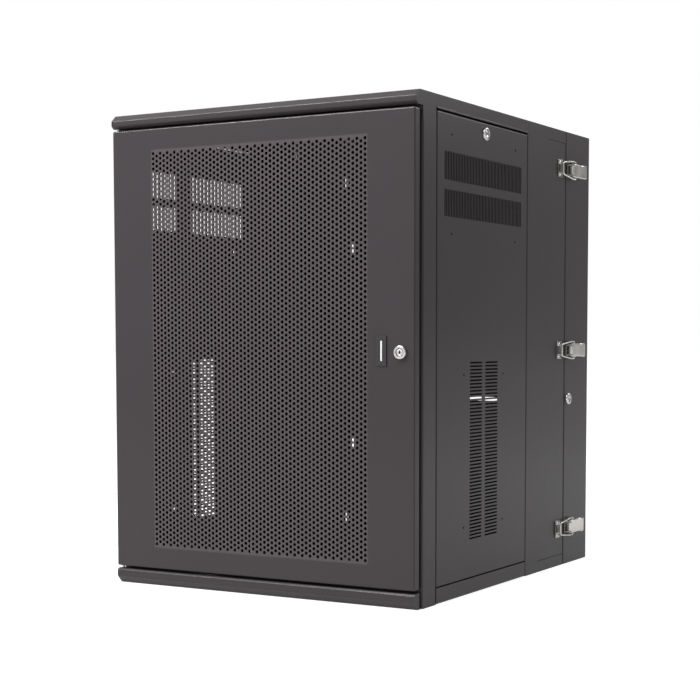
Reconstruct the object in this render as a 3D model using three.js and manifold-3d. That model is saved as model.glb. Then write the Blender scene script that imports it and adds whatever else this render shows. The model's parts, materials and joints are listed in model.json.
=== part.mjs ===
// An 18-unit swing-out wall cabinet for 19-inch equipment.
// Millimetres, +Z up, the front door faces -Y, the wall is at +Y. The origin is the centre of the
// bounding box at the base. The cabinet hangs on the left of a shallow wall frame, latches on its right.
import * as THREE from 'three';
import { mergeVertices } from 'three/addons/utils/BufferGeometryUtils.js';
import Module from 'manifold-3d';

const wasm = await Module();
wasm.setup();

// ---- driving dimensions ------------------------------------------------------------------------
const WIDTH = 635; // outside of the sheet-metal sides
const HEIGHT = 866;
const DEPTH = 758; // door face to wall
const PROUD = 15; // latches on the right and hinge barrels on the left stand this far out
const LOCK_PROUD = 6; // front door lock, which sets the front of the bounding box
const SHEET = 2;
const GAP = 0.3; // between pieces that touch
const SET_BACK = 0.1; // a welded flange stands this far in from the edge of its sheet

const HALF = WIDTH / 2;
const WALL_Y = (DEPTH + LOCK_PROUD) / 2;
const DOOR_Y = WALL_Y - DEPTH;
const DOOR_DEPTH = 18.5;
const POST_Y = DOOR_Y + 24.5; // front face of the cabinet's posts, behind the door
const SEAM_Y = 259.2; // the cabinet meets the wall frame
const SEAM_GAP = 1.6;
const CABINET_BACK_Y = SEAM_Y - SEAM_GAP / 2;
const FRAME_FRONT_Y = SEAM_Y + SEAM_GAP / 2;
const INNER = HALF - SHEET; // inner face of the sides
const FLANGE_X = HALF - 17.5; // inner edge of the flanges turned in from the sides
const FLANGE_DEPTH = 20; // flanges turned down from the top and up from the base

const CORNICE_Z = 841; // underside of the cornice
const HEADER_Z = 823; // the cornice's back edge hangs down to here
const SILL_Z = 28;
const DOOR_HALF = 315;
const DOOR_BOTTOM_Z = 33;
const DOOR_TOP_Z = 836.5;

const PANEL_Y = [-300.4, 70.8]; // removable side panel
const PANEL_Z = [30, 839];
const PANEL_RETURN = 13.5;
const WINDOW_Y = [-302, 72.4]; // opening in the side that the panel fills
const WINDOW_TOP_Z = 842.3;

const UNIT = 44.45; // one rack unit
const UNITS = 18;
const RAIL_BASE_Z = 32.5; // bottom of the first unit
const RAIL_INNER_X = 224.5;
const RAIL_OUTER_X = 257.5;
const RAIL_DEPTH = 46;
const RAIL_HOLE = 9.5;
const RAIL_HOLE_X = 465.1 / 2;
const FRONT_RAIL_Y = -262;
const REAR_RAIL_Y = 200;

const BARREL_R = PROUD / 2 - GAP / 2;
const HINGE_X = HALF + PROUD / 2 + GAP / 2;
const HINGE_HEIGHTS = { lower: 150, upper: 716 };
const LATCH_HEIGHTS = { lower: 75, middle: 433, upper: 791.5 };
const DOOR_PIN = { x: -308.5, y: -366.3 };
const DOOR_LOCK = { x: 289, z: 433.2 };
const PANEL_LOCK = { y: -114.8, z: 819.6 };
const REAR_LOCK = { y: 275.5, z: 335 };
const PIN_R = 2.5;
const BARREL_LOCK_R = 9; // threaded barrel of the cam locks
const LOCK_HOLE_R = BARREL_LOCK_R + GAP;
const LOCK_LENGTH = 13.7; // behind the outer face, so the cam passes inside the panel's return

// ---- materials ---------------------------------------------------------------------------------
function finish(color, roughness, metalness) {
  return new THREE.MeshStandardMaterial({ color, roughness, metalness });
}
const COAT = finish(0x4f4c4e, 0.55, 0.0);
const RAIL_COAT = finish(0x2a292b, 0.6, 0.0);
const ZINC = finish(0xb9b6b0, 0.35, 1.0);
const CHROME = finish(0xd6d5d3, 0.18, 1.0);
const BADGE = finish(0x232224, 0.4, 0.0);

// ---- solids ------------------------------------------------------------------------------------
// Manifold solid of a closed three.js geometry.
function solid(geometry) {
  geometry.deleteAttribute('normal');
  geometry.deleteAttribute('uv');
  const merged = mergeVertices(geometry, 1e-4);
  return new wasm.Manifold(new wasm.Mesh({
    numProp: 3,
    vertProperties: new Float32Array(merged.attributes.position.array),
    triVerts: new Uint32Array(merged.index.array),
  }));
}

// three.js geometry of a manifold solid.
function geometryOf(manifold) {
  const mesh = manifold.getMesh();
  const geometry = new THREE.BufferGeometry();
  geometry.setAttribute('position', new THREE.BufferAttribute(mesh.vertProperties, 3));
  geometry.setIndex(new THREE.BufferAttribute(mesh.triVerts, 1));
  return geometry;
}

const join = (...solids) => solids.reduce((a, b) => a.add(b));
const cut = (body, ...tools) => tools.reduce((a, b) => a.subtract(b), body);

// Box between two opposite corners, given as [x, y, z].
function box(a, b) {
  const size = a.map((v, i) => Math.abs(b[i] - v));
  const geometry = new THREE.BoxGeometry(...size);
  geometry.translate(...a.map((v, i) => (v + b[i]) / 2));
  return solid(geometry);
}

// Outline of points [u, v] pushed along an axis: [y, z] along x, [z, x] along y, [x, y] along z.
const AXES = {
  x: new THREE.Matrix4().makeBasis(
    new THREE.Vector3(0, 1, 0), new THREE.Vector3(0, 0, 1), new THREE.Vector3(1, 0, 0)),
  y: new THREE.Matrix4().makeBasis(
    new THREE.Vector3(0, 0, 1), new THREE.Vector3(1, 0, 0), new THREE.Vector3(0, 1, 0)),
  z: new THREE.Matrix4(),
};
function prism(axis, outline, from, to, holes = []) {
  const shape = new THREE.Shape(outline.map(([u, v]) => new THREE.Vector2(u, v)));
  shape.holes = holes.map((hole) => new THREE.Path(hole.map(([u, v]) => new THREE.Vector2(u, v))));
  const geometry = new THREE.ExtrudeGeometry(shape, { depth: Math.abs(to - from), bevelEnabled: false });
  geometry.translate(0, 0, Math.min(from, to));
  geometry.applyMatrix4(AXES[axis]);
  return solid(geometry);
}

function circle(u, v, radius, sides) {
  return Array.from({ length: sides }, (_, i) => {
    const angle = (2 * Math.PI * (i + 0.5)) / sides;
    return [u + radius * Math.cos(angle), v + radius * Math.sin(angle)];
  });
}
const rod = (axis, u, v, radius, from, to, sides = 16) => prism(axis, circle(u, v, radius, sides), from, to);
const rectangle = (u0, v0, u1, v1) => [[u0, v0], [u1, v0], [u1, v1], [u0, v1]];

// Outline of a folded sheet: the path is its outer face, and the sheet lies on the path's left.
function folded(path, thickness = SHEET) {
  const points = path.map(([u, v]) => new THREE.Vector2(u, v));
  const normals = points.slice(1).map((p, i) => {
    const along = p.clone().sub(points[i]).normalize();
    return new THREE.Vector2(-along.y, along.x);
  });
  const inner = points.map((p, i) => {
    const before = normals[Math.max(i - 1, 0)];
    const after = normals[Math.min(i, normals.length - 1)];
    const bisector = before.clone().add(after);
    return p.clone().add(bisector.multiplyScalar((2 * thickness) / bisector.lengthSq()));
  });
  return [...points, ...inner.reverse()].map((p) => [p.x, p.y]);
}

function part(parent, name, shape, material) {
  const mesh = new THREE.Mesh(shape.isBufferGeometry ? shape : geometryOf(shape), material);
  mesh.name = name;
  parent.add(mesh);
  return mesh;
}

function group(parent, x = 0, y = 0, z = 0) {
  const node = new THREE.Group();
  node.position.set(x, y, z);
  parent.add(node);
  return node;
}

// ---- cam locks ---------------------------------------------------------------------------------
// Local +Z points out of the sheet, which is at z = 0. The cam points along local +Y.
const PLUG_R = 6.7;
const TAIL = 7.4; // square tail that carries the cam
const CAM = { thickness: 2.5, width: 13, reach: 27, gap: 0.6 };

function lockHousing(length, proud) {
  const profile = [
    [PLUG_R + GAP, -length], [BARREL_LOCK_R, -length], [BARREL_LOCK_R, GAP], [11.75, GAP],
    [11.75, proud - 3.6], [10.6, proud - 0.7], [9.4, proud], [PLUG_R + GAP, proud],
  ].map(([r, h]) => new THREE.Vector2(r, h));
  const geometry = new THREE.LatheGeometry([...profile, profile[0]], 24);
  geometry.rotateX(Math.PI / 2);
  return solid(geometry);
}

function lockPlug(length, proud) {
  const core = rod('z', 0, 0, PLUG_R, -length, proud - 0.8, 20);
  const tailEnd = -length - CAM.gap - CAM.thickness - 1;
  const tail = box([-TAIL / 2, -TAIL / 2, -length + 1], [TAIL / 2, TAIL / 2, tailEnd]);
  const keyway = box([-0.9, -3.8, proud - 5], [0.9, 3.8, proud]);
  return cut(join(core, tail), keyway);
}

function lockCam(length, reach) {
  const half = CAM.width / 2;
  const tip = Array.from({ length: 7 }, (_, i) => {
    const angle = (Math.PI * i) / 6;
    return [half * Math.cos(angle), reach - half + half * Math.sin(angle)];
  });
  const outline = [[-half, -half], [half, -half], ...tip];
  const hole = TAIL / 2 + GAP;
  const top = -length - CAM.gap;
  return prism('z', outline, top - CAM.thickness, top, [rectangle(-hole, -hole, hole, hole)]);
}

// Hole for a lock through the side's skin.
function lockHoleAt(side, { y, z }) {
  return rod('x', y, z, LOCK_HOLE_R, side * (HALF - 5), side * (HALF + 5), 24);
}

function camLock(parent, name, { x, y, z, tilt, camAngle, length, reach = CAM.reach, proud = 5.5 }) {
  const lock = group(parent, x, y, z);
  lock.rotation.set(tilt[0], tilt[1], 0);
  part(lock, `${name}_housing`, lockHousing(length, proud), CHROME);
  const turning = group(lock);
  turning.rotation.z = camAngle;
  part(turning, `${name}_plug`, lockPlug(length, proud), CHROME);
  part(turning, `${name}_cam`, lockCam(length, reach), ZINC);
}

// ---- sheet-metal body --------------------------------------------------------------------------
// Sides of the cabinet: a skin with the panel's window, its flanges, and the cornice's end.
function cabinetSide(side) {
  const outline = [
    [POST_Y, 0], [POST_Y, CORNICE_Z], [DOOR_Y + 6, CORNICE_Z], [DOOR_Y, CORNICE_Z + 5.5],
    [DOOR_Y, HEIGHT - 11], [DOOR_Y + 12.5, HEIGHT], [CABINET_BACK_Y, HEIGHT], [CABINET_BACK_Y, 0],
    [WINDOW_Y[1], 0], [WINDOW_Y[1], WINDOW_TOP_Z], [WINDOW_Y[0], WINDOW_TOP_Z], [WINDOW_Y[0], 0],
  ];
  const skin = prism('x', outline, side * INNER, side * HALF);
  const returnX = HALF - PANEL_RETURN;
  const flange = (inner, y0, y1, z0, z1) => box([side * inner, y0, z0], [side * (HALF - SHEET / 2), y1, z1]);
  const front = POST_Y + SET_BACK;
  const back = CABINET_BACK_Y - SET_BACK;
  const floor = SHEET + GAP;
  const ceiling = HEIGHT - SHEET - GAP;
  const lintel = WINDOW_TOP_Z + SET_BACK;
  const window = [[WINDOW_Y[0] - SHEET, WINDOW_Y[0]], [WINDOW_Y[1], WINDOW_Y[1] + SHEET]]
    .map(([y0, y1], i) => [y0 + (2 * i - 1) * SET_BACK, y1 + (2 * i - 1) * SET_BACK]);
  const hem = [[lintel, -1], [lintel, 1.2], [lintel + 1, 1.2], [lintel + 3.2, -1]]
    .map(([z, s]) => [z, side * (HALF + s)]);
  return join(
    skin,
    flange(FLANGE_X, front, front + SHEET, floor, HEADER_Z - GAP),
    flange(FLANGE_X, back - SHEET, back, floor + FLANGE_DEPTH, ceiling - FLANGE_DEPTH),
    ...window.map(([y0, y1]) => flange(returnX, y0, y1, SILL_Z + SHEET, lintel + SHEET / 2)),
    flange(returnX - SET_BACK, window[0][0] - SET_BACK, window[1][1] + SET_BACK, lintel, lintel + SHEET),
    prism('y', hem, WINDOW_Y[0] + SET_BACK, WINDOW_Y[1] - SET_BACK),
  );
}

// Notch through both flanges at the seam, tall enough for the rear lock's cam to turn up into it.
function camSlot() {
  return box([FLANGE_X - 1, CABINET_BACK_Y - 5, REAR_LOCK.z - CAM.reach],
    [HALF - 9, FRAME_FRONT_Y + 5, REAR_LOCK.z + CAM.width / 2 + 2.5]);
}

// Top panel, cornice and front header, folded from one sheet, with two banks of vent slots.
const TOP_VENT = { banks: [-110, 110], count: 8, pitch: 14, width: 5, length: 110, y: -150 };
function cabinetTop() {
  const path = [
    [CABINET_BACK_Y, HEIGHT - FLANGE_DEPTH], [CABINET_BACK_Y, HEIGHT], [DOOR_Y + 12.5, HEIGHT],
    [DOOR_Y, HEIGHT - 11], [DOOR_Y, CORNICE_Z + 5.5], [DOOR_Y + 6, CORNICE_Z], [POST_Y, CORNICE_Z],
    [POST_Y, HEADER_Z],
  ];
  const sheet = prism('x', folded(path), -INNER + GAP, INNER - GAP);
  const corner = (side) => box([side * (FLANGE_X - GAP), CABINET_BACK_Y - SHEET - 1, HEIGHT - SHEET - GAP],
    [side * HALF, CABINET_BACK_Y + 1, HEIGHT - FLANGE_DEPTH - 1]);
  const pinHole = rod('z', DOOR_PIN.x, DOOR_PIN.y, PIN_R + 0.6, CORNICE_Z - 1, CORNICE_Z + SHEET + 1, 12);
  const slots = [];
  for (const bankX of TOP_VENT.banks) {
    for (let row = 0; row < TOP_VENT.count; row += 1) {
      const y = TOP_VENT.y + row * TOP_VENT.pitch;
      slots.push(box([bankX - TOP_VENT.length / 2, y, HEIGHT - SHEET - 1],
        [bankX + TOP_VENT.length / 2, y + TOP_VENT.width, HEIGHT + 1]));
    }
  }
  return cut(sheet, corner(-1), corner(1), pinHole, ...slots);
}

// Base tray: the floor, flanges to the front and back, and the strips below the side panels.
function cabinetBase() {
  const tray = folded([[SILL_Z, HALF], [0, HALF], [0, -HALF], [SILL_Z, -HALF]]);
  const front = POST_Y + SET_BACK;
  const back = CABINET_BACK_Y - SET_BACK;
  const inside = FLANGE_X - GAP;
  const across = (y0, y1, z1) => box([-inside, y0, SHEET / 2], [inside, y1, z1]);
  return join(
    prism('y', tray, PANEL_Y[0], PANEL_Y[1]),
    box([-INNER + GAP, POST_Y, SET_BACK / 2], [INNER - GAP, CABINET_BACK_Y, SHEET - SET_BACK / 2]),
    across(front, front + SHEET, SILL_Z + SHEET),
    across(back - SHEET, back, FLANGE_DEPTH),
  );
}

// Sill below the door: a folded channel with closed ends and a tongue under the base.
function frontSill() {
  const rear = DOOR_Y + DOOR_DEPTH;
  const outside = [
    [rear, SILL_Z], [DOOR_Y + 3, SILL_Z], [DOOR_Y, SILL_Z - 3.5],
    [DOOR_Y, 13], [DOOR_Y + 11.5, 0], [rear, 0],
  ];
  const inside = folded(outside).slice(outside.length).map(([y, z], i, all) => (
    i === 0 || i === all.length - 1 ? [rear + 1, z] : [y, z]));
  const channel = cut(
    prism('x', outside, -DOOR_HALF, DOOR_HALF),
    prism('x', inside, -DOOR_HALF + SHEET, DOOR_HALF - SHEET),
    rod('z', DOOR_PIN.x, DOOR_PIN.y, PIN_R + 0.6, SILL_Z - SHEET - 1, SILL_Z + 1, 12),
  );
  const tongue = box([-FLANGE_X, rear - 3, SET_BACK / 2], [FLANGE_X, POST_Y - GAP, SHEET - SET_BACK / 2]);
  return join(channel, tongue);
}

// ---- wall frame --------------------------------------------------------------------------------
const CABLE_OPENING = { x: 110, y: [290, 355] };
const COVER_LAP = 8;

function wallFrameSide(side) {
  const skin = box([side * INNER, FRAME_FRONT_Y, 0], [side * HALF, WALL_Y, HEIGHT]);
  const floor = SHEET + GAP + FLANGE_DEPTH;
  const front = FRAME_FRONT_Y + SET_BACK;
  const outer = HALF - SHEET / 2;
  const flange = box([side * FLANGE_X, front, floor], [side * outer, front + SHEET, HEIGHT - floor]);
  return join(skin, flange);
}

// Top (up = 1) or bottom (up = -1) of the wall frame, with its cable opening.
function wallFrameEnd(up) {
  const z = (depth) => (up > 0 ? HEIGHT - depth : depth);
  const plate = box([-INNER + GAP, FRAME_FRONT_Y, z(0)], [INNER - GAP, WALL_Y, z(SHEET)]);
  const front = FRAME_FRONT_Y + SET_BACK;
  const flange = box([-FLANGE_X + GAP, front, z(SHEET / 2)],
    [FLANGE_X - GAP, front + SHEET, z(FLANGE_DEPTH)]);
  const opening = box([-CABLE_OPENING.x, CABLE_OPENING.y[0], z(-1)],
    [CABLE_OPENING.x, CABLE_OPENING.y[1], z(3)]);
  return cut(join(plate, flange), opening);
}

function cableCover(up) {
  const z = (depth) => (up > 0 ? HEIGHT - depth : depth);
  const lap = box([-CABLE_OPENING.x - COVER_LAP, CABLE_OPENING.y[0] - COVER_LAP, z(SHEET + GAP)],
    [CABLE_OPENING.x + COVER_LAP, CABLE_OPENING.y[1] + COVER_LAP, z(2 * SHEET)]);
  const plug = box([-CABLE_OPENING.x + 1, CABLE_OPENING.y[0] + 1, z(0.4)],
    [CABLE_OPENING.x - 1, CABLE_OPENING.y[1] - 1, z(SHEET + 1)]);
  return join(lap, plug);
}

// Back plate: wall fixing slots in mirrored pairs, and two cable-tie slots.
const FIXING_SLOTS = [[260, 52], [246, 221], [246, 657], [260, 806]];
function wallBackPlate() {
  const top = HEIGHT - SHEET - GAP;
  const plate = box([-INNER + GAP, WALL_Y - SHEET, SHEET + GAP], [INNER - GAP, WALL_Y, top]);
  const slot = (x, z, w, h) => box([x - w / 2, WALL_Y - 5, z - h / 2], [x + w / 2, WALL_Y + 5, z + h / 2]);
  const fixings = FIXING_SLOTS.flatMap(([x, z]) => [slot(-x, z, 8, 20), slot(x, z, 8, 20)]);
  return cut(plate, ...fixings, slot(-85, 327, 90, 8), slot(85, 327, 90, 8));
}

// ---- rack rails --------------------------------------------------------------------------------
// An L of sheet: a face with square holes and a web along its outer edge. dir is +1 when the web
// runs to the rear of the face.
function rackRail(side, faceY, dir) {
  const path = [[RAIL_INNER_X, 0], [RAIL_OUTER_X, 0], [RAIL_OUTER_X, RAIL_DEPTH]];
  const section = folded(path).map(([x, y]) => [side * x, faceY + dir * y]);
  const angle = prism('z', section, RAIL_BASE_Z - 4, RAIL_BASE_Z + UNIT * UNITS + 4);
  const holes = [];
  for (let unit = 0; unit < UNITS; unit += 1) {
    for (const offset of [6.35, 22.225, 38.1]) {
      const z = RAIL_BASE_Z + unit * UNIT + offset;
      const half = RAIL_HOLE / 2;
      holes.push(box([side * (RAIL_HOLE_X - half), faceY - 3, z - half],
        [side * (RAIL_HOLE_X + half), faceY + 3, z + half]));
    }
  }
  return cut(angle, ...holes);
}

// A channel that carries the rails, from the front post to the rear flange.
const SUPPORT_HEIGHTS = { lower: 52, middle: 520, upper: 789 };
const SUPPORT_TALL = 30;
function railSupport(side, z) {
  const x = side * (RAIL_OUTER_X + GAP);
  const tabX = side * (HALF - 5.5);
  const front = POST_Y + SHEET + GAP;
  const back = CABINET_BACK_Y - SHEET - GAP;
  const path = side > 0
    ? [[tabX, back], [x, back], [x, front], [tabX, front]]
    : [[tabX, front], [x, front], [x, back], [tabX, back]];
  return prism('z', folded(path), z, z + SUPPORT_TALL);
}

// ---- front door --------------------------------------------------------------------------------
// A pan whose edges fold back and then in, towards the middle.
const DOOR_HEM = 14;
function frontDoor() {
  const back = DOOR_Y + DOOR_DEPTH;
  const shell = (inset, y0, y1) => box([-DOOR_HALF + inset, y0, DOOR_BOTTOM_Z + inset],
    [DOOR_HALF - inset, y1, DOOR_TOP_Z - inset]);
  const pan = cut(
    shell(0, DOOR_Y, back),
    shell(SHEET, DOOR_Y + SHEET, back - SHEET),
    shell(DOOR_HEM, back - 3, back + 1),
  );
  const pinHole = (z) => rod('z', DOOR_PIN.x, DOOR_PIN.y, PIN_R + GAP, z - 3, z + 3, 12);
  const lockHole = rod('y', DOOR_LOCK.z, DOOR_LOCK.x, LOCK_HOLE_R, DOOR_Y - 1, back, 24);
  return cut(pan, pinHole(DOOR_BOTTOM_Z), pinHole(DOOR_TOP_Z), lockHole);
}

// ---- side panels -------------------------------------------------------------------------------
function sidePanel(side) {
  const returnX = HALF - PANEL_RETURN;
  const slab = (x0, x1, inset) => box([side * x0, PANEL_Y[0] + inset, PANEL_Z[0] + inset],
    [side * x1, PANEL_Y[1] - inset, PANEL_Z[1] - inset]);
  const lockHole = lockHoleAt(side, PANEL_LOCK);
  return cut(slab(returnX, HALF, 0), slab(returnX - 1, INNER, SHEET), lockHole);
}

// ---- swing hinges ------------------------------------------------------------------------------
// Lift-off hinge about the local Z axis: the wall half is below, the cabinet half above.
const HINGE = { half: 38, pin: 4, leaf: 34, split: 0.5 };
function hingeHalf(above) {
  const end = above ? HINGE.half : -HINGE.half;
  const start = above ? HINGE.split / 2 : -HINGE.split / 2;
  const leafY = above ? -HINGE.leaf : HINGE.leaf;
  const barrel = rod('z', 0, 0, BARREL_R, start, end, 20);
  const leaf = box([BARREL_R - 3, 0, start], [BARREL_R, leafY, end]);
  const bore = rod('z', 0, 0, HINGE.pin + GAP, start - Math.sign(end), end - Math.sign(end) * 4, 16);
  return cut(join(barrel, leaf), bore);
}

// ---- draw latches ------------------------------------------------------------------------------
// Local x is the distance from the side's face, local y = 0 is the seam, local z = 0 mid-height.
const LATCH = {
  pivotX: 7, pivotY: 17.5, noseR: 4.4, half: 13.3, // lever
  barX: 8, barY: -30.6, bailX: 6, bailY: 37.5, wire: 1.6, // bail
};

function latchKeeper() {
  const plate = box([GAP, -42, -17.5], [GAP + 1.5, -19, 17.5]);
  const hook = box([GAP, LATCH.barY + LATCH.wire + 0.5, -8],
    [LATCH.barX - LATCH.wire - 0.6, LATCH.barY + 4.1, 8]);
  const rivet = (z) => rod('x', -34.5, z, 3.8, 1, 3.8, 12);
  return join(plate, hook, rivet(-11.6), rivet(11.6));
}

function latchBase() {
  const plate = box([GAP, 3, -10], [GAP + 1.5, 58, 10]);
  const ear = (side) => {
    const round = Array.from({ length: 7 }, (_, i) => {
      const angle = (Math.PI * i) / 6;
      return [LATCH.pivotX + 5 * Math.sin(angle), LATCH.pivotY - 5 * Math.cos(angle)];
    });
    return prism('z', [[GAP, LATCH.pivotY + 7], [GAP, LATCH.pivotY - 7], ...round], side * 9, side * 11);
  };
  const rivet = (side) => rod('z', LATCH.pivotX, LATCH.pivotY, 2.6, side * 10, side * 12.8, 12);
  const foot = (side) => box([GAP, LATCH.pivotY - 7, side * 9], [GAP + 1.5, LATCH.pivotY + 7, side * 11]);
  return join(plate, ear(-1), ear(1), foot(-1), foot(1), rivet(-1), rivet(1));
}

function latchLever() {
  const nose = rod('z', LATCH.pivotX, LATCH.pivotY, LATCH.noseR, -8.4, 8.4, 16);
  const outer = 9.8;
  const spine = [[outer, LATCH.pivotY], [outer, 63], [PROUD, 75]];
  const neck = prism('z', folded([[outer, LATCH.pivotY], [outer, 40]], 1.6), -8.4, 8.4);
  const body = prism('z', folded([[outer, 27], ...spine.slice(1)], 1.6), -LATCH.half, LATCH.half);
  const cheek = (side) => prism('z', [[outer, 27], [outer, 62], [outer - 3, 62], [4.4, 44], [4.4, 31]],
    side * (LATCH.half - 1.6), side * LATCH.half);
  return join(nose, neck, body, cheek(-1), cheek(1));
}

// Bent wire: a U whose arms widen, run past the lever's cheeks and turn in at its holes.
function latchBail() {
  const { barX, barY, bailX, bailY, half } = LATCH;
  const inward = half + GAP + 0.1;
  const side = (s) => [
    [barX, barY, s * 8], [barX, barY + 1.5, s * 10.8], [barX, barY + 6, s * 12.4],
    [barX - 0.4, 6, s * 15.6], [barX - 0.8, 18, s * 17], [bailX + 0.6, 32, s * 17],
    [bailX, bailY - 0.6, s * 16.4], [bailX, bailY, s * 15], [bailX, bailY, s * inward],
  ];
  const route = [...side(-1).reverse(), ...side(1)].map((p) => new THREE.Vector3(...p));
  const curve = new THREE.CatmullRomCurve3(route, false, 'centripetal');
  const shape = new THREE.Shape(circle(0, 0, LATCH.wire, 8).map(([u, v]) => new THREE.Vector2(u, v)));
  return solid(new THREE.ExtrudeGeometry(shape, { steps: 44, extrudePath: curve, bevelEnabled: false }));
}

// ---- assembly ----------------------------------------------------------------------------------
const assembly = new THREE.Group();

const wallFrame = group(assembly);
part(wallFrame, 'wall_back_plate', wallBackPlate(), COAT);
part(wallFrame, 'wall_frame_left', wallFrameSide(-1), COAT);
part(wallFrame, 'wall_frame_right', cut(wallFrameSide(1), lockHoleAt(1, REAR_LOCK), camSlot()), COAT);
part(wallFrame, 'wall_frame_top', wallFrameEnd(1), COAT);
part(wallFrame, 'wall_frame_bottom', wallFrameEnd(-1), COAT);
part(wallFrame, 'cable_cover_top', cableCover(1), COAT);
part(wallFrame, 'cable_cover_bottom', cableCover(-1), COAT);

const cabinet = group(assembly);
part(cabinet, 'cabinet_side_left', cabinetSide(-1), COAT);
part(cabinet, 'cabinet_side_right', cut(cabinetSide(1), camSlot()), COAT);
part(cabinet, 'cabinet_top', cabinetTop(), COAT);
part(cabinet, 'cabinet_base', cabinetBase(), COAT);
part(cabinet, 'front_sill', frontSill(), COAT);

for (const [name, side] of [['left', -1], ['right', 1]]) {
  part(cabinet, `rack_rail_front_${name}`, rackRail(side, FRONT_RAIL_Y, 1), RAIL_COAT);
  part(cabinet, `rack_rail_rear_${name}`, rackRail(side, REAR_RAIL_Y, -1), RAIL_COAT);
  for (const [level, z] of Object.entries(SUPPORT_HEIGHTS)) {
    part(cabinet, `rail_support_${name}_${level}`, railSupport(side, z), RAIL_COAT);
  }
  part(cabinet, `side_panel_${name}`, sidePanel(side), COAT);
  camLock(cabinet, `side_panel_${name}_lock`, {
    x: side * HALF, y: PANEL_LOCK.y, z: PANEL_LOCK.z,
    tilt: [0, side * Math.PI / 2], camAngle: 0, length: LOCK_LENGTH,
  });
}

part(cabinet, 'front_door', frontDoor(), COAT);
const badge = group(cabinet, 252.5, DOOR_Y - GAP, 435.5);
part(badge, 'door_badge', box([-9.5, -1.6, -25], [9.5, 0, 25]), BADGE);
part(cabinet, 'door_pin_lower', rod('z', DOOR_PIN.x, DOOR_PIN.y, PIN_R, 12, 62, 12), ZINC);
part(cabinet, 'door_pin_upper', rod('z', DOOR_PIN.x, DOOR_PIN.y, PIN_R, 808, 854, 12), ZINC);
camLock(cabinet, 'door_lock', {
  x: DOOR_LOCK.x, y: DOOR_Y, z: DOOR_LOCK.z, tilt: [Math.PI / 2, 0], camAngle: Math.PI,
  length: POST_Y - DOOR_Y + SHEET + 0.2, reach: 22, proud: LOCK_PROUD,
});
camLock(wallFrame, 'rear_lock', {
  x: HALF, y: REAR_LOCK.y, z: REAR_LOCK.z,
  tilt: [0, Math.PI / 2], camAngle: -Math.PI / 2, length: LOCK_LENGTH,
});

for (const [level, z] of Object.entries(HINGE_HEIGHTS)) {
  const hinge = group(assembly, -HINGE_X, SEAM_Y, z);
  part(hinge, `swing_hinge_${level}_wall_half`, hingeHalf(false), COAT);
  part(hinge, `swing_hinge_${level}_cabinet_half`, hingeHalf(true), COAT);
  part(hinge, `swing_hinge_${level}_pin`, rod('z', 0, 0, HINGE.pin, -30, 30, 16), ZINC);
}

for (const [level, z] of Object.entries(LATCH_HEIGHTS)) {
  const latch = group(assembly, HALF, SEAM_Y, z);
  part(latch, `latch_${level}_keeper`, latchKeeper(), ZINC);
  part(latch, `latch_${level}_base`, latchBase(), ZINC);
  part(latch, `latch_${level}_lever`, latchLever(), ZINC);
  part(latch, `latch_${level}_bail`, latchBail(), ZINC);
}

export default assembly;
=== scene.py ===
"""Looks of a swing-out 19-inch wall cabinet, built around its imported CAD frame.

Shapes are drawn in millimetres and scaled to metres when a piece is made. The door faces -Y, the wall
is at +Y, and +X is to the right of someone who faces the door.
"""

import json
import math

import bmesh
import bpy
from mathutils import Matrix, Vector


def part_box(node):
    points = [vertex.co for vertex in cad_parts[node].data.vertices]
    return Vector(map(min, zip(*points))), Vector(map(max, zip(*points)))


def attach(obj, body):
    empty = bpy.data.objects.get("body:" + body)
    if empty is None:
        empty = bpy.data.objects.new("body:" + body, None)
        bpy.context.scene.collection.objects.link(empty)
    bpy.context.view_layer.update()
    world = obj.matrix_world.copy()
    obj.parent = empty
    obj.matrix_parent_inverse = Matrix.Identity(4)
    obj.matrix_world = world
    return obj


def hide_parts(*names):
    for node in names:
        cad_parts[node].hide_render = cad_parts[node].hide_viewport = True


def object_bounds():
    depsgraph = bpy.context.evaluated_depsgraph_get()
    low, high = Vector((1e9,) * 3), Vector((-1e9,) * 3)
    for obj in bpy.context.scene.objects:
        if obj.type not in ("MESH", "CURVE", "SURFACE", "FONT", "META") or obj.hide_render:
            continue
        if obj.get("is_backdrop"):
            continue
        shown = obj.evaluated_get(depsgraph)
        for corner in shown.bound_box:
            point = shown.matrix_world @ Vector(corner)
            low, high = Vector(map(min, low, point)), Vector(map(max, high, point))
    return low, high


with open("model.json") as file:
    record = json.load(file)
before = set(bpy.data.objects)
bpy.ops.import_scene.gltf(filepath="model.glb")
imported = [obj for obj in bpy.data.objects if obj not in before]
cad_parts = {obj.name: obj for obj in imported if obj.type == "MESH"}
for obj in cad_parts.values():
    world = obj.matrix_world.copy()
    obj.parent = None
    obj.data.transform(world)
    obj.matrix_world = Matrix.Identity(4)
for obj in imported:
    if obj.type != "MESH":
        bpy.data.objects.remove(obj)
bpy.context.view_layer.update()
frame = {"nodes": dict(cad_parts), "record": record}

MM = 0.001
SHEET = 2.0
BEND = 0.9  # inside radius of a fold


def corners(node):
    """Lowest and highest corner of a CAD node in millimetres."""
    low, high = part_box(node)
    return Vector(low) / MM, Vector(high) / MM


door_low, door_high = corners("front_door")
panel_low, panel_high = corners("side_panel_right")
sill_low, sill_high = corners("front_sill")
base_high = corners("cabinet_base")[1]
frame_low, frame_high = corners("wall_frame_right")
top_low, top_high = corners("cabinet_top")

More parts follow.
